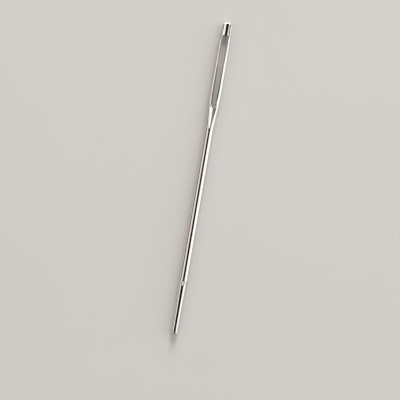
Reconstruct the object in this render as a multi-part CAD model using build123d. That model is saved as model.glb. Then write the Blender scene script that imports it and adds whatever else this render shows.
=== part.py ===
from build123d import *
from math import cos, pi, sin
import os

# A large-eyed, blunt-tipped yarn needle: one length of round steel wire. Its head end is pressed flatter,
# a long eye is punched through it, and a gutter leads into the eye from each end on both faces.
# The needle lies along X with its blunt tip towards +X, and its round shaft touches Z = 0.
# The eye opens through Z, so the needle is widest along Y. The origin is under its middle.

# Driving dimensions in millimetres
needle_length = 70.0
shaft_diameter = 2.05
eye_width = 2.70
eye_thickness = 1.43
head_end_width = 2.26
head_end_thickness = 1.10
head_dome_radius = 1.60
head_rim_rounding = 0.22

# Places along the needle, measured from its head end
full_width_start = 7.5
full_width_end = 15.5
shaft_start = 24.6

# The ground point: a short shoulder, then a slow taper to the blunt tip
point_length = 12.1
shoulder_length = 1.1
point_root_diameter = 1.86
tip_diameter = 1.50
tip_rounding = 0.42

# The eye opening: square at the head, round at the shaft, and widest near the head
opening_start = 3.0
opening_widest_place = 5.4
opening_middle_place = 10.5
opening_lower_place = 15.0
opening_end = 19.05
opening_start_half_width = 0.61
opening_widest_half_width = 0.665
opening_middle_half_width = 0.53
opening_lower_half_width = 0.465
opening_end_radius = 0.36
opening_corner_rounding = 0.16
opening_rim_rounding = 0.12

# The gutters: round-bottomed grooves, deepest where they meet the opening, that fade out along its bars
upper_gutter_radius = 1.30
upper_gutter_depth = 0.24
upper_gutter_overrun = 1.0
upper_gutter_fade_place = 6.8
upper_gutter_fade_radius = 1.18
lower_gutter_radius = 0.87
lower_gutter_depth = 0.36
lower_gutter_run_out_place = 24.0
lower_gutter_fade_place = 17.4
lower_gutter_fade_radius = 0.58

# A pressed section is fuller than an ellipse by this share of its thickness, and the shaft isn't
pressed_fullness_share = 0.28
section_points = 24
section_count = 18

# The pressed head and the shaft meet in one circle, which this much covers
join_tolerance = 0.00001

shaft_radius = shaft_diameter / 2
point_start = needle_length - point_length


def place(from_head):
    """X of a place that is measured from the head end."""
    return from_head - needle_length / 2


def ease(value, start, end):
    """Rises smoothly from 0 at start to 1 at end."""
    share = min(max((value - start) / (end - start), 0), 1)
    return share * share * (3 - 2 * share)


def mix(first, last, share):
    """The value that lies a share of the way from first to last."""
    return first + (last - first) * share


def towards_shaft(pressed, from_head):
    """A half size of the pressed head, easing into the round shaft."""
    return mix(pressed, shaft_radius, ease(from_head, full_width_end, shaft_start))


def half_width(from_head):
    """Half the needle's size along Y, from its head end to the shaft."""
    return towards_shaft(mix(head_end_width, eye_width, ease(from_head, 0, full_width_start)) / 2, from_head)


def half_thickness(from_head):
    """Half the needle's size along Z, from its head end to the shaft."""
    pressed = mix(head_end_thickness, eye_thickness, ease(from_head, 0, full_width_start)) / 2
    return towards_shaft(pressed, from_head)


def section(from_head):
    """The outline across the needle there: a full flattened round that turns into the shaft's circle."""
    plane = Plane((place(from_head), 0, shaft_radius), x_dir=(0, 1, 0), z_dir=(1, 0, 0))
    fullness_share = mix(pressed_fullness_share, 0, ease(from_head, full_width_end, shaft_start))
    outline = []
    for step in range(section_points):
        turn = 2 * pi * step / section_points
        across = half_width(from_head) * cos(turn)
        up = half_thickness(from_head) * sin(turn) * (1 + fullness_share * cos(turn) ** 2)
        outline.append((across, up))
    return plane * make_face(Spline(*outline, periodic=True))


def turned(profile, axis_height):
    """A solid turned about a line along X at that height, from its places and radii."""
    first_x = place(profile[0][0])
    last_x = place(profile[-1][0])
    outline = [(first_x, 0)]
    outline += [(place(from_head), radius) for from_head, radius in profile]
    outline += [(last_x, 0)]
    half_outline = make_face(Polyline(*outline, close=True))
    return Pos(0, 0, axis_height) * revolve(half_outline, Axis.X)


def pressed_head():
    """The flattened head from its domed end to the shaft, before the eye is opened."""
    stations = [shaft_start * step / (section_count - 1) for step in range(section_count)]
    blank = loft([section(station) for station in stations])
    dome_centre = Pos(place(head_dome_radius), 0, shaft_radius)
    round_length = Cylinder(head_dome_radius, shaft_start, align=(Align.CENTER, Align.CENTER, Align.MIN))
    domed = blank & (dome_centre * Sphere(head_dome_radius) + dome_centre * Rot(Y=90) * round_length)
    dome = domed.faces().sort_by(Axis.X)[0]
    return fillet(dome.edges(), head_rim_rounding)


def shaft_and_point():
    """The round shaft, the ground shoulder and the tapered point with its rounded blunt tip."""
    profile = [
        (shaft_start, shaft_radius),
        (point_start, shaft_radius),
        (point_start + shoulder_length, point_root_diameter / 2),
        (needle_length, tip_diameter / 2),
    ]
    shaft = turned(profile, shaft_radius)
    tip_face = shaft.faces().sort_by(Axis.X)[-1]
    return fillet(tip_face.edges(), tip_rounding)


def eye_opening():
    """The punch that opens the eye through the head."""
    side = [
        (place(opening_start), opening_start_half_width),
        (place(opening_widest_place), opening_widest_half_width),
        (place(opening_middle_place), opening_middle_half_width),
        (place(opening_lower_place), opening_lower_half_width),
        (place(opening_end - opening_end_radius), opening_end_radius),
    ]
    other_side = [(x, -y) for x, y in reversed(side)]
    outline = [
        Spline(*side),
        ThreePointArc(side[-1], (place(opening_end), 0), other_side[0]),
        Spline(*other_side),
        Line(other_side[-1], side[0]),
    ]
    face = make_face(outline)
    face = fillet(face.vertices().sort_by(Axis.X)[:2], opening_corner_rounding)
    return Pos(0, 0, shaft_radius - eye_thickness) * extrude(face, 2 * eye_thickness)


def with_opening(blank):
    """The blank with its eye punched through and the rims of the opening rounded."""
    punch = eye_opening()
    punched = blank - punch
    return fillet(new_edges(blank, punch, combined=punched), opening_rim_rounding)


def gutters(side):
    """The two grooves of one face: side is 1 for the upper face and -1 for the lower one."""
    upper_floor = half_thickness(opening_start) - upper_gutter_depth
    upper = [
        (-upper_gutter_overrun, upper_gutter_radius),
        (opening_start, upper_gutter_radius),
        (upper_gutter_fade_place, upper_gutter_fade_radius),
    ]
    lower_floor = half_thickness(opening_end) - lower_gutter_depth
    lower_axis = lower_floor + lower_gutter_radius
    run_out_radius = lower_axis - half_thickness(lower_gutter_run_out_place)
    run_on_share = (shaft_start - opening_end) / (lower_gutter_run_out_place - opening_end)
    lower = [
        (lower_gutter_fade_place, lower_gutter_fade_radius),
        (opening_end, lower_gutter_radius),
        (shaft_start, mix(lower_gutter_radius, run_out_radius, run_on_share)),
    ]
    yield turned(upper, shaft_radius + side * (upper_floor + upper_gutter_radius))
    yield turned(lower, shaft_radius + side * lower_axis)


def whole_needle():
    """The needle as the one solid that its wire is."""
    solid = with_opening(pressed_head().fuse(shaft_and_point(), tol=join_tolerance))
    for side in (1, -1):
        for gutter in gutters(side):
            solid = solid - gutter
    return solid


def stretch(solid, start, end):
    """The stretch of the needle between two places, cut square across."""
    block = Box(end - start, 2 * eye_width, 2 * eye_width, align=(Align.MIN, Align.CENTER, Align.CENTER))
    return solid & Pos(place(start), 0, shaft_radius) * block


def stretches():
    """The needle's named stretches. They meet face to face and none of them bends around the eye opening.
    Left and right are as seen from above with the head end at the top.
    """
    solid = whole_needle()
    bars_start = opening_start + opening_corner_rounding
    bars_end = opening_end - opening_end_radius
    left_bar, right_bar = stretch(solid, bars_start, bars_end).solids().sort_by(Axis.Y)
    return {
        "head_end": stretch(solid, 0, bars_start),
        "left_eye_bar": left_bar,
        "right_eye_bar": right_bar,
        "neck": stretch(solid, bars_end, shaft_start),
        "shaft": stretch(solid, shaft_start, point_start),
        "point": stretch(solid, point_start, needle_length),
    }


os.makedirs("parts", exist_ok=True)
for name, solid in stretches().items():
    export_step(solid, f"parts/{name}.step")
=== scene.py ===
from math import acos, atan, atan2, cos, hypot, pi, radians, sin, sqrt, tan

import bmesh
import bpy
from mathutils import Matrix, Vector


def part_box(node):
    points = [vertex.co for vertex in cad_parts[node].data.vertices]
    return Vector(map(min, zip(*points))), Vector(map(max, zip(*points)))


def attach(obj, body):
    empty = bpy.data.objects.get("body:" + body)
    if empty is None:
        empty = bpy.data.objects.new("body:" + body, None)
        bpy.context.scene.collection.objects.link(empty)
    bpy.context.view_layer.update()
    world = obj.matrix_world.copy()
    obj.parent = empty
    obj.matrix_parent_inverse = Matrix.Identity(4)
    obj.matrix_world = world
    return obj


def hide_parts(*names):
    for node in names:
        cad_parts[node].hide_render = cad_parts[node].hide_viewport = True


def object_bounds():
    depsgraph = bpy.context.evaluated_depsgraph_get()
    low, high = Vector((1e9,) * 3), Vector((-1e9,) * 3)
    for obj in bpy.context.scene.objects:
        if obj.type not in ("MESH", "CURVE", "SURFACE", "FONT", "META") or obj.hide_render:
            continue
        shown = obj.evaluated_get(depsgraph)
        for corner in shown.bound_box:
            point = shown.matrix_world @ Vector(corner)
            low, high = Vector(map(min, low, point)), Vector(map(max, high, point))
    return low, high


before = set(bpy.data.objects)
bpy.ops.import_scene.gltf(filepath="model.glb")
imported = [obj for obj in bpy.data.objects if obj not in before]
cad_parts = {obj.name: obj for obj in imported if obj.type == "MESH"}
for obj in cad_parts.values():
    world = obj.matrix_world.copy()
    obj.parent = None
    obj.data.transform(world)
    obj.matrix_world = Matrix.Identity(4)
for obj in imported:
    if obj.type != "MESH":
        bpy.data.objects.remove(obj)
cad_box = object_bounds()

# A yarn needle: one length of nickel-plated steel wire with a flattened head, a long open eye, a gutter that
# leads into the eye from each end on both faces, and a ground, blunt point. It lies along X, tip towards +X.
# Lengths are in millimetres. The mesh and the places of the lights are turned into metres at the end.
metre = 1000.0

# The needle, as the frame gives it
box_low, box_high = cad_box
needle_length = (box_high.x - box_low.x) * metre
shaft_diameter = (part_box("shaft")[1].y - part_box("shaft")[0].y) * metre
shaft_radius = shaft_diameter / 2
shaft_start = (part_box("shaft")[0].x - box_low.x) * metre
point_start = (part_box("point")[0].x - box_low.x) * metre

# The pressed head
eye_width = 2.70
eye_thickness = 1.43
head_end_width = 2.26
head_end_thickness = 1.10
head_dome_radius = 1.60
head_rim_rounding = 0.22
full_width_start = 7.5
full_width_end = 15.5

# The press leaves the faces beside the eye flatter, and so fuller towards their edges, than the solids are
pressed_fullness_share = 0.42

# The point
shoulder_length = 1.1
point_root_diameter = 1.86
tip_diameter = 1.50
tip_rounding = 0.42

# The eye opening, as half widths at places from the head end
opening_start = 3.0
opening_end_radius = 0.36
opening_corner_rounding = 0.16
opening_rim_rounding = 0.12
opening_end = 19.05
opening_side = [
    (opening_start, 0.61),
    (5.4, 0.665),
    (10.5, 0.53),
    (15.0, 0.465),
    (opening_end - opening_end_radius, opening_end_radius),
]

# The gutters. Their crests are sharp in the solids and rounded here, the upper one's most at the head, before
# it runs out along the bars. A rounded crest lies a share of its rounding below the sharp one.
upper_gutter_radius = 1.30
upper_gutter_depth = 0.24
upper_gutter_fade_place = 6.8
upper_gutter_fade_radius = 1.18
upper_crest_rounding = 0.30
upper_crest_bar_place = 4.6
upper_crest_bar_rounding = 0.05
lower_gutter_radius = 0.87
lower_gutter_depth = 0.36
lower_gutter_run_out_place = 24.0
lower_gutter_fade_place = 17.4
lower_gutter_fade_radius = 0.58
lower_crest_rounding = 0.12
crest_drop_share = 1 / 4

# Up to this share of its width the rim of the opening is as rough and as dark as the punched wall; its
# darkness is painted shade along the eye's inner edge
punched_and_shaded_rim_share = 0.4

# How finely the surface is divided. A row has columns over its strip at the side and over the gutter's floor
# in its middle.
strip_columns = 36
middle_columns = 14
rim_steps = 6
wall_steps = 4
cap_steps = 8
bar_rows = 90
neck_rows = 28
shaft_rows = 14
shoulder_rows = 4
taper_rows = 8
round_end_split = radians(40)
rows_even_again = 20.6

# Rows lie this close to the shoulder's two edges, and again a little further out, so both edges look crisp
row_gap_at_edge = 0.03
row_gap_beside_edge = 0.12

# A slope is measured between two points this far on either side of a place, or this turn for the outline
rim_slope_reach = 0.005
side_slope_reach = 0.01
outline_slope_turn = 0.001

# A rim is settled by repeating one step this many times
opening_rim_repeats = 6
head_rim_repeats = 4

# Points whose places agree to this many decimals are one point
shared_point_decimals = 6


def ease(value, start, end):
    """Rises smoothly from 0 at start to 1 at end."""
    share = min(max((value - start) / (end - start), 0), 1)
    return share * share * (3 - 2 * share)


def mix(first, last, share):
    """The value that lies a share of the way from first to last."""
    return first + (last - first) * share


def steps(first, last, count):
    """Evenly spaced values from first to last, both included."""
    return [mix(first, last, step / count) for step in range(count + 1)]


def ground_radius(from_head):
    """The radius of the round shaft and of the ground point."""
    point_root = point_start + shoulder_length
    if from_head <= point_start:
        return shaft_radius
    if from_head <= point_root:
        share = (from_head - point_start) / shoulder_length
        return mix(shaft_radius, point_root_diameter / 2, share)
    share = (from_head - point_root) / (needle_length - point_root)
    return mix(point_root_diameter, tip_diameter, share) / 2


def half_size(end_size, eye_size, from_head):
    """Half the needle's width or thickness, from the pressed size at its head to the round shaft."""
    pressed = mix(end_size, eye_size, ease(from_head, 0, full_width_start)) / 2
    return mix(pressed, ground_radius(from_head), ease(from_head, full_width_end, shaft_start))


def half_width(from_head):
    """Half the needle's size along Y."""
    return half_size(head_end_width, eye_width, from_head)


def half_thickness(from_head):
    """Half the needle's size along Z."""
    return half_size(head_end_thickness, eye_thickness, from_head)


def outline_point(from_head, turn):
    """A point of the outer section, as (across, up). Turn is 0 at the side and a quarter at the top."""
    fullness = mix(pressed_fullness_share, 0, ease(from_head, full_width_end, shaft_start))
    across = half_width(from_head) * cos(turn)
    return across, half_thickness(from_head) * sin(turn) * (1 + fullness * cos(turn) ** 2)


def groove_height(axis_height, radius, across):
    """The height of a groove's round floor, or far above the needle past its sides."""
    if radius <= abs(across):
        return shaft_diameter
    return axis_height - sqrt(radius * radius - across * across)


def lower_of(first, second, crest_rounding):
    """The lower of two heights, with the crest where they cross rounded."""
    overlap_share = max(crest_rounding - abs(first - second), 0) / crest_rounding
    return min(first, second) - overlap_share * overlap_share * crest_rounding * crest_drop_share


def carved(from_head, across, up):
    """Up, lowered to the floor of whichever gutter cuts deeper there."""
    lower_axis = half_thickness(opening_end) - lower_gutter_depth + lower_gutter_radius
    if from_head < opening_end:
        upper_axis = half_thickness(opening_start) - upper_gutter_depth + upper_gutter_radius
        fade_share = (from_head - opening_start) / (upper_gutter_fade_place - opening_start)
        upper_radius = mix(upper_gutter_radius, upper_gutter_fade_radius, max(fade_share, 0))
        bar_share = ease(from_head, opening_start, upper_crest_bar_place)
        crest_rounding = mix(upper_crest_rounding, upper_crest_bar_rounding, bar_share)
        up = lower_of(up, groove_height(upper_axis, upper_radius, across), crest_rounding)
        share = (from_head - lower_gutter_fade_place) / (opening_end - lower_gutter_fade_place)
        lower_radius = mix(lower_gutter_fade_radius, lower_gutter_radius, share)
    else:
        share = (from_head - opening_end) / (lower_gutter_run_out_place - opening_end)
        run_out_radius = lower_axis - half_thickness(lower_gutter_run_out_place)
        lower_radius = mix(lower_gutter_radius, run_out_radius, share)
    return lower_of(up, groove_height(lower_axis, lower_radius, across), lower_crest_rounding)


def surface(from_head, turn):
    """A point of the needle's face, as (from_head, across, up)."""
    across, up = outline_point(from_head, turn)
    return from_head, across, carved(from_head, across, up)


def turn_at(from_head, across):
    """The turn of the outline that lies that far from the centre line."""
    return acos(min(across / half_width(from_head), 1))


def face_height(from_head, across):
    """The height of the needle's face above its middle plane."""
    return surface(from_head, turn_at(from_head, across))[2]


def side_curve():
    """What a smooth curve through the opening's side points needs: their gaps, rises and bends."""
    count = len(opening_side)
    gaps = [opening_side[i + 1][0] - opening_side[i][0] for i in range(count - 1)]
    rises = [(opening_side[i + 1][1] - opening_side[i][1]) / gaps[i] for i in range(count - 1)]
    weights = [0.0]
    values = [0.0]
    for i in range(1, count - 1):
        middle = 2 * (gaps[i - 1] + gaps[i]) - gaps[i - 1] * weights[i - 1]
        weights.append(gaps[i] / middle)
        values.append((6 * (rises[i] - rises[i - 1]) - gaps[i - 1] * values[i - 1]) / middle)
    bends = [0.0] * count
    for i in range(count - 2, 0, -1):
        bends[i] = values[i] - weights[i] * bends[i + 1]
    return gaps, rises, bends


side_gaps, side_rises, side_bends = side_curve()


def opening_half_width(from_head):
    """Half the width of the eye opening along its straight part."""
    starts = [place for place, _ in opening_side[:-1]]
    i = max(index for index, start in enumerate(starts) if index == 0 or from_head >= start)
    along = from_head - opening_side[i][0]
    gap = side_gaps[i]
    slope = side_rises[i] - gap * (2 * side_bends[i] + side_bends[i + 1]) / 6
    bend_change = (side_bends[i + 1] - side_bends[i]) / gap
    return opening_side[i][1] + along * (slope + along * (side_bends[i] / 2 + along * bend_change / 6))


def rim_profile(edge, outward):
    """The rounded rim and the wall at one point of the opening's edge.
    Their points run from the needle's face down to its middle plane.
    """

    def height(distance):
        from_head = edge[0] + outward[0] * distance
        return face_height(from_head, max(edge[1] + outward[1] * distance, 0))

    reach = opening_rim_rounding
    lean = 0.0
    for _ in range(opening_rim_repeats):
        rise = height(reach + rim_slope_reach) - height(reach - rim_slope_reach)
        lean = atan(rise / (2 * rim_slope_reach))
        reach = opening_rim_rounding * (1 - sin(lean))
    centre_height = height(reach) - opening_rim_rounding * cos(lean)
    profile = []
    for turn in steps(pi / 2 + lean, pi, rim_steps):
        distance = opening_rim_rounding * (1 + cos(turn))
        profile.append((distance, centre_height + opening_rim_rounding * sin(turn)))
    profile += [(0.0, up) for up in steps(centre_height, 0, wall_steps)[1:]]
    return [(edge[0] + outward[0] * d, edge[1] + outward[1] * d, up) for d, up in profile]


def head_wall_edge():
    """The straight end of the opening near the head: points from its middle to its corner."""
    corner_centre = opening_half_width(opening_start + opening_corner_rounding) - opening_corner_rounding
    return [((opening_start, across), (-1.0, 0.0)) for across in steps(0, corner_centre, middle_columns)]


def side_edge():
    """The opening's edge from its corner at the head, along its side and part of the way round its end."""
    corner_place = opening_start + opening_corner_rounding
    corner_centre = opening_half_width(corner_place) - opening_corner_rounding
    points = []
    for turn in steps(pi, pi / 2, rim_steps)[:-1]:
        place = corner_place + opening_corner_rounding * cos(turn)
        across = corner_centre + opening_corner_rounding * sin(turn)
        points.append(((place, across), (cos(turn), sin(turn))))
    for place in steps(corner_place, opening_side[-1][0], bar_rows)[:-1]:
        rise = opening_half_width(place + side_slope_reach) - opening_half_width(place - side_slope_reach)
        slope = rise / (2 * side_slope_reach)
        length = hypot(slope, 1)
        points.append(((place, opening_half_width(place)), (-slope / length, 1 / length)))
    return points + [round_end_point(turn) for turn in steps(pi / 2, round_end_split, rim_steps)]


def round_end_point(turn):
    """A point of the opening's round end with its outward direction. Turn is 0 on the centre line."""
    centre = opening_side[-1][0]
    return (centre + opening_end_radius * cos(turn), opening_end_radius * sin(turn)), (cos(turn), sin(turn))


def round_end_edge():
    """The rest of the round end, from where the side leaves off to the centre line."""
    return [round_end_point(turn) for turn in steps(round_end_split, 0, middle_columns)]


def head_turns(from_head):
    """The turns of a row's points on the head.
    They are evenly spaced on the strip, and their points are evenly spaced across the gutter's floor.
    """
    floor_side = head_wall_edge()[-1][0][1]
    strip = steps(0, turn_at(from_head, floor_side), strip_columns)
    return strip + [turn_at(from_head, across) for across in steps(floor_side, 0, middle_columns)[1:]]


def even_turns():
    """The turns of a row's points on the neck, the shaft and the point: even all the way."""
    return steps(0, pi / 2, strip_columns + middle_columns)


def rounded_rim(turn):
    """The rounded rim of the domed head end at one turn of its outline: points from the dome to the side."""
    place = head_rim_rounding
    for _ in range(head_rim_repeats):
        before = outline_point(place, turn - outline_slope_turn)
        after = outline_point(place, turn + outline_slope_turn)
        outward = Vector((0, after[1] - before[1], before[0] - after[0])).normalized()
        side = outline_point(place, turn)
        centre = Vector((0, side[0], side[1])) - outward * head_rim_rounding
        inner_radius = head_dome_radius - head_rim_rounding
        place = head_dome_radius - sqrt(inner_radius * inner_radius - centre.length_squared)
    centre.x = place
    from_dome_centre = (centre - Vector((head_dome_radius, 0, 0))).normalized()
    points = []
    for share in steps(0, 1, rim_steps):
        points.append(tuple(centre + from_dome_centre.slerp(outward, share) * head_rim_rounding))
    return points


def with_gutters(points):
    """The same points, lowered to the gutters where they cut deeper."""
    return [(from_head, across, carved(from_head, across, up)) for from_head, across, up in points]


def head_end_patches():
    """The domed end with its rounded rim, and the rows from there to the head wall of the eye."""
    rims = [rounded_rim(turn) for turn in head_turns(head_rim_rounding)]
    cap = []
    for rim in rims:
        _, across, up = rim[0]
        column = [rim[0]]
        for height in steps(up, 0, cap_steps)[1:]:
            depth = sqrt(head_dome_radius * head_dome_radius - across * across - height * height)
            column.append((head_dome_radius - depth, across, height) if up else rim[0])
        cap.append(with_gutters(column))
    rim_rows = [with_gutters([rim[step] for rim in rims]) for step in range(rim_steps + 1)]
    even_place = head_dome_radius
    side_rows = [rim_rows[-1]]
    for share in steps(0, 1, rim_steps)[1:]:
        turns = head_turns(mix(head_rim_rounding, even_place, share))
        places = [mix(rim[-1][0], even_place, share) for rim in rims]
        side_rows.append([surface(place, turn) for place, turn in zip(places, turns)])
    wall_line = [rim_profile(*edge)[0] for edge in head_wall_edge()][::-1]
    last_place = wall_line[0][0]
    for share in steps(0, 1, rim_steps)[1:-1]:
        place = mix(even_place, last_place, share)
        strip = [surface(place, turn) for turn in head_turns(place)[:strip_columns]]
        floor = [(mix(even_place, point[0], share), point[1]) for point in wall_line]
        side_rows.append(strip + [(x, across, face_height(x, across)) for x, across in floor])
    strip = [surface(last_place, turn) for turn in head_turns(last_place)[:strip_columns]]
    side_rows.append(strip + wall_line)
    return cap, rim_rows, side_rows


def eye_patches():
    """The bars beside the opening, and the rounded rim and wall all round it."""
    side_rims = [rim_profile(*edge) for edge in side_edge()]
    bars = []
    for rim in side_rims:
        place, across, _ = rim[0]
        turns = steps(0, turn_at(place, across), strip_columns)[:-1]
        bars.append([surface(place, turn) for turn in turns] + [rim[0]])
    head_wall = [rim_profile(*edge) for edge in head_wall_edge()]
    side_rims[0] = head_wall[-1]
    round_end = [rim_profile(*edge) for edge in round_end_edge()]
    round_end[0] = side_rims[-1]
    return bars, head_wall, side_rims, round_end


def neck_patch(bar_row, round_end_line):
    """The rows from the round end of the opening to where they lie square across the needle again."""
    rows = [bar_row[:-1] + round_end_line]
    split_place = bar_row[-1][0]
    even = [outline_point(rows_even_again, turn)[0] for turn in even_turns()[strip_columns:]]
    for share in steps(0, 1, 2 * rim_steps)[1:-1]:
        floor = [
            (mix(point[0], rows_even_again, share), mix(point[1], across, share))
            for point, across in zip(round_end_line, even)
        ]
        place = mix(split_place, rows_even_again, share)
        turns = steps(0, turn_at(place, floor[0][1]), strip_columns)[:-1]
        strip = [surface(place, turn) for turn in turns]
        rows.append(strip + [(x, across, face_height(x, across)) for x, across in floor])
    return rows


def ring(from_head, radius):
    """A quarter of a round row."""
    return [(from_head, radius * cos(turn), radius * sin(turn)) for turn in even_turns()]


def shaft_patch(first_row):
    """The rows along the neck, the shaft and the ground point, and the rounded tip."""
    shoulder_end = point_start + shoulder_length
    tip_start = needle_length - tip_rounding
    places = steps(rows_even_again, shaft_start, neck_rows)
    places += steps(shaft_start, point_start - row_gap_beside_edge, shaft_rows)[1:]
    places += [point_start - row_gap_at_edge]
    places += steps(point_start + row_gap_at_edge, shoulder_end - row_gap_at_edge, shoulder_rows)
    places += [shoulder_end + row_gap_at_edge]
    places += steps(shoulder_end + row_gap_beside_edge, tip_start, taper_rows)
    rows = [first_row]
    for place in places:
        rows.append([surface(place, turn) for turn in even_turns()])
    tip_radius = ground_radius(tip_start)
    flat_radius = tip_radius - tip_rounding
    for turn in steps(0, pi / 2, 2 * rim_steps)[1:]:
        radius = flat_radius + tip_rounding * cos(turn)
        rows.append(ring(tip_start + tip_rounding * sin(turn), radius))
    for radius in steps(flat_radius, 0, wall_steps)[1:]:
        rows.append(ring(needle_length, radius))
    return rows


def quarter_patches():
    """The upper right quarter of the needle. The other three are its mirror images."""
    cap, rim_rows, side_rows = head_end_patches()
    bars, head_wall, side_rims, round_end = eye_patches()
    bars[0] = side_rows[-1][: strip_columns + 1]
    neck = neck_patch(bars[-1], [rim[0] for rim in round_end])
    return [cap, rim_rows, side_rows, bars, head_wall, side_rims, round_end, neck, shaft_patch(neck[-1])]


def needle_mesh():
    """One closed mesh of the whole needle. Points that patches share are made once."""
    indices = {}
    faces = []

    def index(point, across_side, up_side):
        mirrored = (point[0], point[1] * across_side, point[2] * up_side)
        key = tuple(round(value, shared_point_decimals) for value in mirrored)
        return indices.setdefault(key, len(indices))

    for patch in quarter_patches():
        for across_side, up_side in ((1, 1), (-1, 1), (-1, -1), (1, -1)):
            grid = [[index(point, across_side, up_side) for point in row] for row in patch]
            for row, next_row in zip(grid, grid[1:]):
                for corners in zip(row, row[1:], next_row[1:], next_row):
                    face = list(dict.fromkeys(corners))
                    if len(face) > 2:
                        faces.append(face)
    points = [
        ((from_head - needle_length / 2) / metre, across / metre, (up + shaft_radius) / metre)
        for from_head, across, up in indices
    ]
    mesh = bpy.data.meshes.new("needle")
    mesh.from_pydata(points, [], faces)
    working = bmesh.new()
    working.from_mesh(mesh)
    bmesh.ops.recalc_face_normals(working, faces=working.faces)
    working.to_mesh(mesh)
    working.free()
    mesh.shade_smooth()
    return mesh


# The camera. It looks straight down, as the photograph does. These pixels place the needle in the picture.
picture_side_pixels = 400
head_pixel = (227.8, 22.9)
tip_pixel = (174.1, 334.5)
camera_distance = 600.0
nearest_seen = 10.0
farthest_seen = 20000.0

pixel_run = (tip_pixel[0] - head_pixel[0], tip_pixel[1] - head_pixel[1])
pixel_size = needle_length / hypot(*pixel_run)
picture_lean = atan2(-pixel_run[0], pixel_run[1])
picture_right = Vector((-sin(picture_lean), cos(picture_lean), 0))
picture_down = Vector((cos(picture_lean), sin(picture_lean), 0))


def photo_camera():
    """Looks down on the needle, turned and placed as the picture shows it."""
    data = bpy.data.cameras.new("camera")
    camera = bpy.data.objects.new("camera", data)
    bpy.context.collection.objects.link(camera)
    middle_right = (head_pixel[0] + tip_pixel[0] - picture_side_pixels) / 2
    middle_down = (head_pixel[1] + tip_pixel[1] - picture_side_pixels) / 2
    aim = -(picture_right * middle_right + picture_down * middle_down) * pixel_size
    above = aim + Vector((0, 0, shaft_radius + camera_distance))
    turned = Matrix.Rotation(pi / 2 + picture_lean, 4, "Z")
    camera.matrix_world = Matrix.Translation(above / metre) @ turned
    data.lens = data.sensor_width * camera_distance / (picture_side_pixels * pixel_size)
    data.clip_start = nearest_seen / metre
    data.clip_end = farthest_seen / metre
    bpy.context.scene.camera = camera


# Light. Long soft panels lean over the needle from its sides, white on the picture's right and cream on its
# left. Their upper edges leave a dark slot overhead. The white panel is turned so that the slot widens
# towards the point. A second cream panel, further out, takes over where the ground point mirrors it.
panel_edge_height = 1500.0
panel_slope = radians(50)
panel_point_reach = 1900.0
white_panel_offset = 685.0
white_panel_turn = radians(55)
white_panel_head_reach = 600.0
white_panel_width = 1765.0
cream_panel_offset = 620.0
cream_panel_head_reach = 240.0
cream_panel_point_reach = 105.0
cream_point_panel_offset = 1200.0
cream_panel_width = 1000.0

# Dimmer overhead panels close the slot past both ends of the needle, from one angle from straight up to
# another. A short brighter one comes first past the point, where the shoulder mirrors it.
shoulder_panel_angles = (radians(10.5), radians(17))
point_panel_angles = (radians(17), radians(52))
head_panel_angles = (radians(10.5), radians(52))
head_panel_offset = 2200.0

# One more panel, narrow and low past the head end, sends its light along the eye onto the floor inside it
low_panel_distance = 2100.0
low_panel_angle = radians(64)
low_panel_size = (700.0, 1200.0)

# How bright the panels look, and their colours
white_panel_strength = 1.3
cream_panel_strength = 1.12
shoulder_panel_strength = 0.8
point_panel_strength = 0.4
head_panel_strength = 0.32
low_panel_strength = 12.0
white = (1.0, 0.995, 0.985)
cream = (1.0, 0.87, 0.77)
warm_white = (1.0, 0.97, 0.93)

# The surround is pale up to the first height of a direction of length 1, and dark from the second
sky_heights = (0.18, 0.62)
sky_colours = ((0.22, 0.21, 0.205, 1), (0.016, 0.014, 0.013, 1))


def area_light(name, middle, across, facing, size, colour, strength):
    """A soft panel. Strength is how bright it looks, so its power follows from its size."""
    data = bpy.data.lights.new(name, "AREA")
    data.shape = "RECTANGLE"
    data.size = size[0] / metre
    data.size_y = size[1] / metre
    data.color = colour
    data.energy = strength * pi * data.size * data.size_y
    light = bpy.data.objects.new(name, data)
    bpy.context.collection.objects.link(light)
    back = -Vector(facing).normalized()
    side = Vector(across).normalized()
    turned = Matrix((side, back.cross(side), back)).transposed()
    light.matrix_world = Matrix.Translation(Vector(middle) / metre) @ turned.to_4x4()
    light.visible_camera = False


def side_panel(name, side, offset, turn, reach, width, colour, strength):
    """A long panel that leans over the needle from one side, which is 1 for the picture's right.
    Reach is the places along it where it starts and ends.
    """
    start, end = reach
    along = Vector((cos(turn), side * sin(turn), 0))
    outwards = Vector((-sin(turn), side * cos(turn), 0))
    down = outwards * cos(panel_slope) - Vector((0, 0, sin(panel_slope)))
    edge_middle = Vector((0, side * offset, panel_edge_height)) + along * (start + end) / 2
    middle = edge_middle + down * width / 2
    area_light(name, middle, along, down.cross(along) * side, (end - start, width), colour, strength)


def overhead_panel(name, side, angles, offset, strength):
    """A panel overhead, past the point for side 1 or the head for -1, mirrored by slopes towards that end."""
    start, end = (panel_edge_height * tan(angle) for angle in angles)
    middle = (side * (start + end) / 2, (white_panel_offset - offset) / 2, panel_edge_height)
    size = (end - start, white_panel_offset + offset)
    area_light(name, middle, (1, 0, 0), (0, 0, -1), size, warm_white, strength)


def low_panel(name, strength):
    """The narrow panel past the head end. Its angle is from straight up."""
    towards = Vector((-sin(low_panel_angle), 0, cos(low_panel_angle)))
    middle = towards * low_panel_distance
    area_light(name, middle, (0, 1, 0), -towards, low_panel_size, warm_white, strength)


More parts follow.
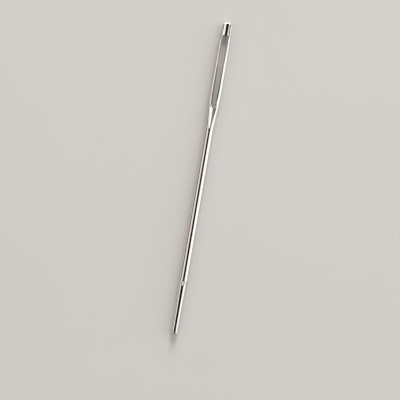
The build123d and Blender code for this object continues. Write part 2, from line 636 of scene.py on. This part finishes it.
def studio_panels():
    """All the panels: the three that lean over the needle, the three overhead and the low one."""
    white_reach = (-white_panel_head_reach, panel_point_reach)
    cream_reach = (-cream_panel_head_reach, cream_panel_point_reach)
    cream_point_reach = (cream_panel_point_reach, panel_point_reach)
    side_panel(
        "white_panel", 1, white_panel_offset, white_panel_turn, white_reach,
        white_panel_width, white, white_panel_strength,
    )
    side_panel(
        "cream_panel", -1, cream_panel_offset, 0, cream_reach,
        cream_panel_width, cream, cream_panel_strength,
    )
    side_panel(
        "cream_point_panel", -1, cream_point_panel_offset, 0, cream_point_reach,
        cream_panel_width, cream, cream_panel_strength,
    )
    overhead_panel("shoulder_panel", 1, shoulder_panel_angles, cream_panel_offset, shoulder_panel_strength)
    overhead_panel("point_panel", 1, point_panel_angles, cream_panel_offset, point_panel_strength)
    overhead_panel("head_panel", -1, head_panel_angles, head_panel_offset, head_panel_strength)
    low_panel("low_head_panel", low_panel_strength)


def studio_world():
    """A pale surround that turns dark overhead."""
    world = bpy.data.worlds.new("studio")
    bpy.context.scene.world = world
    world.use_nodes = True
    nodes = world.node_tree.nodes
    links = world.node_tree.links
    nodes.clear()
    direction = nodes.new("ShaderNodeTexCoord")
    parts = nodes.new("ShaderNodeSeparateXYZ")
    ramp = nodes.new("ShaderNodeValToRGB")
    background = nodes.new("ShaderNodeBackground")
    output = nodes.new("ShaderNodeOutputWorld")
    for element, height, colour in zip(ramp.color_ramp.elements, sky_heights, sky_colours):
        element.position = height
        element.color = colour
    links.new(direction.outputs["Generated"], parts.inputs["Vector"])
    links.new(parts.outputs["Z"], ramp.inputs["Fac"])
    links.new(ramp.outputs["Color"], background.inputs["Color"])
    links.new(background.outputs["Background"], output.inputs["Surface"])


# Marks in the steel and in the paper, as noise: how many times longer they are along X, Y and Z, how many lie
# in a millimetre, how fine their detail goes, and a seed
drawn_line_marks = ((60, 1, 1), 14, 3, 1.7)
fine_line_marks = ((25, 1, 1), 34, 2, 8.1)
cloud_marks = ((3, 1, 1), 0.55, 4, 3.9)
smudge_marks = ((2, 1, 1), 0.9, 5, 12.3)
wave_marks = ((5, 1, 1), 0.45, 1, 5.5)
nick_marks = ((9, 1, 1), 7, 6, 21.4)
paper_tone_marks = ((1, 1, 1), 0.02, 3, 2.2)
paper_tooth_marks = ((1, 1, 1), 2.5, 4, 6.6)

# The steel's colours, and how far rubbing and residue may change them
bright_steel = (0.80, 0.785, 0.755, 1)
duller_steel = (0.725, 0.715, 0.695, 1)
rubbed_steel = (0.86, 0.85, 0.83, 1)
residue = (0.33, 0.31, 0.28, 1)
# The punched walls and inner rim: rougher punched steel, darkened far more than steel is, as painted shade
# along the eye's inner edge
punched_steel_painted_shade = (0.24, 0.225, 0.21, 1)
rubbed_most_share = 0.5
residue_most_share = 0.45
residue_noise_range = (0.42, 0.72)

# The steel's roughness along its drawing lines, and what smudges, recesses and punching add
line_noise_range = (0.3, 0.7)
line_roughness_range = (0.02, 0.05)
smudge_noise_range = (0.5, 0.75)
smudge_roughness = 0.03
recess_roughness = 0.07
punched_roughness = 0.28

# Relief: how high marks stand, and how strongly they show. Nicks are cut where their noise is highest.
wave_relief = (0.004, 0.5)
drawn_line_relief = (0.0003, 0.6)
fine_line_relief = (0.0002, 0.5)
nick_relief = (0.0008, 0.5)
nick_noise_range = (0.62, 0.7)
paper_tooth_relief = (0.02, 0.3)

# The paper floor
floor_half_size = 3000.0
pale_paper = (0.80, 0.795, 0.785, 1)
darker_paper = (0.76, 0.755, 0.745, 1)
paper_roughness = 0.9
paper_gloss = 0.15


def new_material(name):
    """A material, with its nodes, its links and its main shader."""
    material = bpy.data.materials.new(name)
    material.use_nodes = True
    nodes = material.node_tree.nodes
    return material, nodes, material.node_tree.links, nodes["Principled BSDF"]


def pattern(nodes, links, stretch, scale, detail, seed):
    """Noise over the object in millimetres, from the four values that describe one kind of marks."""
    place = nodes.new("ShaderNodeTexCoord")
    mapping = nodes.new("ShaderNodeMapping")
    noise = nodes.new("ShaderNodeTexNoise")
    mapping.inputs["Location"].default_value = (seed, seed * 2, seed * 3)
    mapping.inputs["Scale"].default_value = [metre * scale / length for length in stretch]
    noise.inputs["Scale"].default_value = 1
    noise.inputs["Detail"].default_value = detail
    links.new(place.outputs["Object"], mapping.inputs["Vector"])
    links.new(mapping.outputs["Vector"], noise.inputs["Vector"])
    return noise.outputs["Fac"]


def mesh_value(nodes, name):
    """A value written on the mesh when the needle is built."""
    node = nodes.new("ShaderNodeAttribute")
    node.attribute_name = name
    return node.outputs["Fac"]


def remap(nodes, links, value, old_range, new_range):
    """A value whose old range is turned into the new one."""
    node = nodes.new("ShaderNodeMapRange")
    for name, number in zip(("From Min", "From Max", "To Min", "To Max"), old_range + new_range):
        node.inputs[name].default_value = number
    links.new(value, node.inputs["Value"])
    return node.outputs["Result"]


def combine(nodes, links, operation, first, second):
    """A sum or product of two values, either of which may be a number."""
    node = nodes.new("ShaderNodeMath")
    node.operation = operation
    for socket, value in zip(node.inputs, (first, second)):
        if isinstance(value, (int, float)):
            socket.default_value = value
        else:
            links.new(value, socket)
    return node.outputs["Value"]


def blended(nodes, links, share, first, second):
    """Two colours mixed by a share."""
    node = nodes.new("ShaderNodeMix")
    node.data_type = "RGBA"
    links.new(share, node.inputs["Factor"])
    for socket, colour in ((node.inputs["A"], first), (node.inputs["B"], second)):
        if isinstance(colour, tuple):
            socket.default_value = colour
        else:
            links.new(colour, socket)
    return node.outputs["Result"]


def raised(nodes, links, height, relief, normal=None):
    """Fine relief from a height pattern, on top of another relief."""
    distance, strength = relief
    bump = nodes.new("ShaderNodeBump")
    bump.inputs["Distance"].default_value = distance / metre
    bump.inputs["Strength"].default_value = strength
    links.new(height, bump.inputs["Height"])
    if normal:
        links.new(normal, bump.inputs["Normal"])
    return bump.outputs["Normal"]


def steel_colour(nodes, links, smudges, worn, recessed, punched_and_painted_shade):
    """Bright clouded steel, paler on rubbed edges, with residue in its recesses and punched walls darkened as
    painted shade.
    """
    cloud = pattern(nodes, links, *cloud_marks)
    colour = blended(nodes, links, cloud, bright_steel, duller_steel)
    rubbed_share = combine(nodes, links, "MULTIPLY", worn, rubbed_most_share)
    colour = blended(nodes, links, rubbed_share, colour, rubbed_steel)
    patches = remap(nodes, links, smudges, residue_noise_range, (0, residue_most_share))
    residue_share = combine(nodes, links, "MULTIPLY", patches, recessed)
    colour = blended(nodes, links, residue_share, colour, residue)
    # Painted shade: the punched wall and inner rim of the eye are darkened
    return blended(nodes, links, punched_and_painted_shade, colour, punched_steel_painted_shade)


def steel_roughness(nodes, links, drawn_lines, smudges, recessed, punched_and_painted_shade):
    """Polished steel, a little rougher in its drawing lines and roughest on the punched walls."""
    roughness = remap(nodes, links, drawn_lines, line_noise_range, line_roughness_range)
    additions = (
        remap(nodes, links, smudges, smudge_noise_range, (0, smudge_roughness)),
        combine(nodes, links, "MULTIPLY", recessed, recess_roughness),
        combine(nodes, links, "MULTIPLY", punched_and_painted_shade, punched_roughness),
    )
    for addition in additions:
        roughness = combine(nodes, links, "ADD", roughness, addition)
    return roughness


def steel_relief(nodes, links, drawn_lines):
    """Faint waves, drawing lines, polishing lines and nicks."""
    waves = pattern(nodes, links, *wave_marks)
    fine_lines = pattern(nodes, links, *fine_line_marks)
    nicks = remap(nodes, links, pattern(nodes, links, *nick_marks), nick_noise_range, (0, -1))
    normal = raised(nodes, links, waves, wave_relief)
    normal = raised(nodes, links, drawn_lines, drawn_line_relief, normal)
    normal = raised(nodes, links, fine_lines, fine_line_relief, normal)
    return raised(nodes, links, nicks, nick_relief, normal)


def polished_steel():
    """Nickel-plated wire: bright, drawn and polished lengthwise, with faint handling marks, used edges and
    painted shade on the eye's punched walls.
    """
    material, nodes, links, shader = new_material("polished_nickel")
    shader.inputs["Metallic"].default_value = 1
    drawn_lines = pattern(nodes, links, *drawn_line_marks)
    smudges = pattern(nodes, links, *smudge_marks)
    worn = mesh_value(nodes, "edge_wear")
    recessed = mesh_value(nodes, "recess")
    punched_and_painted_shade = mesh_value(nodes, "punched_and_painted_shade")
    colour = steel_colour(nodes, links, smudges, worn, recessed, punched_and_painted_shade)
    roughness = steel_roughness(nodes, links, drawn_lines, smudges, recessed, punched_and_painted_shade)
    links.new(colour, shader.inputs["Base Color"])
    links.new(roughness, shader.inputs["Roughness"])
    links.new(steel_relief(nodes, links, drawn_lines), shader.inputs["Normal"])
    return material


def paper_floor():
    """A plain pale sheet with a faint tooth."""
    material, nodes, links, shader = new_material("pale_paper")
    tone = pattern(nodes, links, *paper_tone_marks)
    tooth = pattern(nodes, links, *paper_tooth_marks)
    links.new(blended(nodes, links, tone, pale_paper, darker_paper), shader.inputs["Base Color"])
    shader.inputs["Roughness"].default_value = paper_roughness
    shader.inputs["Specular IOR Level"].default_value = paper_gloss
    links.new(raised(nodes, links, tooth, paper_tooth_relief), shader.inputs["Normal"])
    return material


def studio_floor():
    """The plain pale floor that the needle lies on."""
    half = floor_half_size / metre
    corners = [(-half, -half, 0), (half, -half, 0), (half, half, 0), (-half, half, 0)]
    mesh = bpy.data.meshes.new("floor")
    mesh.from_pydata(corners, [], [(0, 1, 2, 3)])
    mesh.materials.append(paper_floor())
    floor = bpy.data.objects.new("floor", mesh)
    bpy.context.collection.objects.link(floor)


def beyond_opening(from_head, across):
    """How far outside the edge of the opening a point lies."""
    round_end_centre = opening_side[-1][0]
    if from_head > round_end_centre:
        return hypot(from_head - round_end_centre, across) - opening_end_radius
    side_distance = across - opening_half_width(max(from_head, opening_start))
    if from_head > opening_start:
        return side_distance
    return hypot(opening_start - from_head, max(side_distance, 0))


def paint_wear_and_painted_shade(mesh):
    """Writes on each point of the mesh how recessed and how worn it is, and how freshly punched, which also
    marks where painted shade darkens the eye's wall and inner rim.
    """
    recess = mesh.attributes.new("recess", "FLOAT", "POINT")
    edge_wear = mesh.attributes.new("edge_wear", "FLOAT", "POINT")
    punched_and_painted_shade = mesh.attributes.new("punched_and_painted_shade", "FLOAT", "POINT")
    for vertex in mesh.vertices:
        from_head = vertex.co.x * metre + needle_length / 2
        across = abs(vertex.co.y) * metre
        outline_height = outline_point(from_head, turn_at(from_head, across))[1]
        depth = outline_height - abs(vertex.co.z * metre - shaft_radius)
        crest_distance = abs(depth - upper_crest_rounding * crest_drop_share) / lower_crest_rounding
        lowered_share = ease(depth, 0, lower_crest_rounding * crest_drop_share)
        rim_share = beyond_opening(from_head, across) / opening_rim_rounding
        recess.data[vertex.index].value = min(max(depth, 0) / lower_gutter_depth, 1)
        edge_wear.data[vertex.index].value = max(1 - crest_distance, 0) * lowered_share
        # Painted shade: this mask darkens the punched wall and inner rim, and also makes them rougher
        punched_and_painted_shade.data[vertex.index].value = 1 - ease(rim_share, punched_and_shaded_rim_share, punched_and_shaded_rim_share + 1)


def needle():
    """The whole needle as one piece of wire, in place of the CAD's stretches of it."""
    mesh = needle_mesh()
    paint_wear_and_painted_shade(mesh)
    mesh.materials.append(polished_steel())
    piece = bpy.data.objects.new("needle", mesh)
    bpy.context.collection.objects.link(piece)
    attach(piece, "root")
    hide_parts("head_end", "left_eye_bar", "right_eye_bar", "neck", "shaft", "point")


photo_camera()
studio_world()
studio_panels()
studio_floor()
needle()
bpy.context.scene.view_settings.view_transform = "Standard"
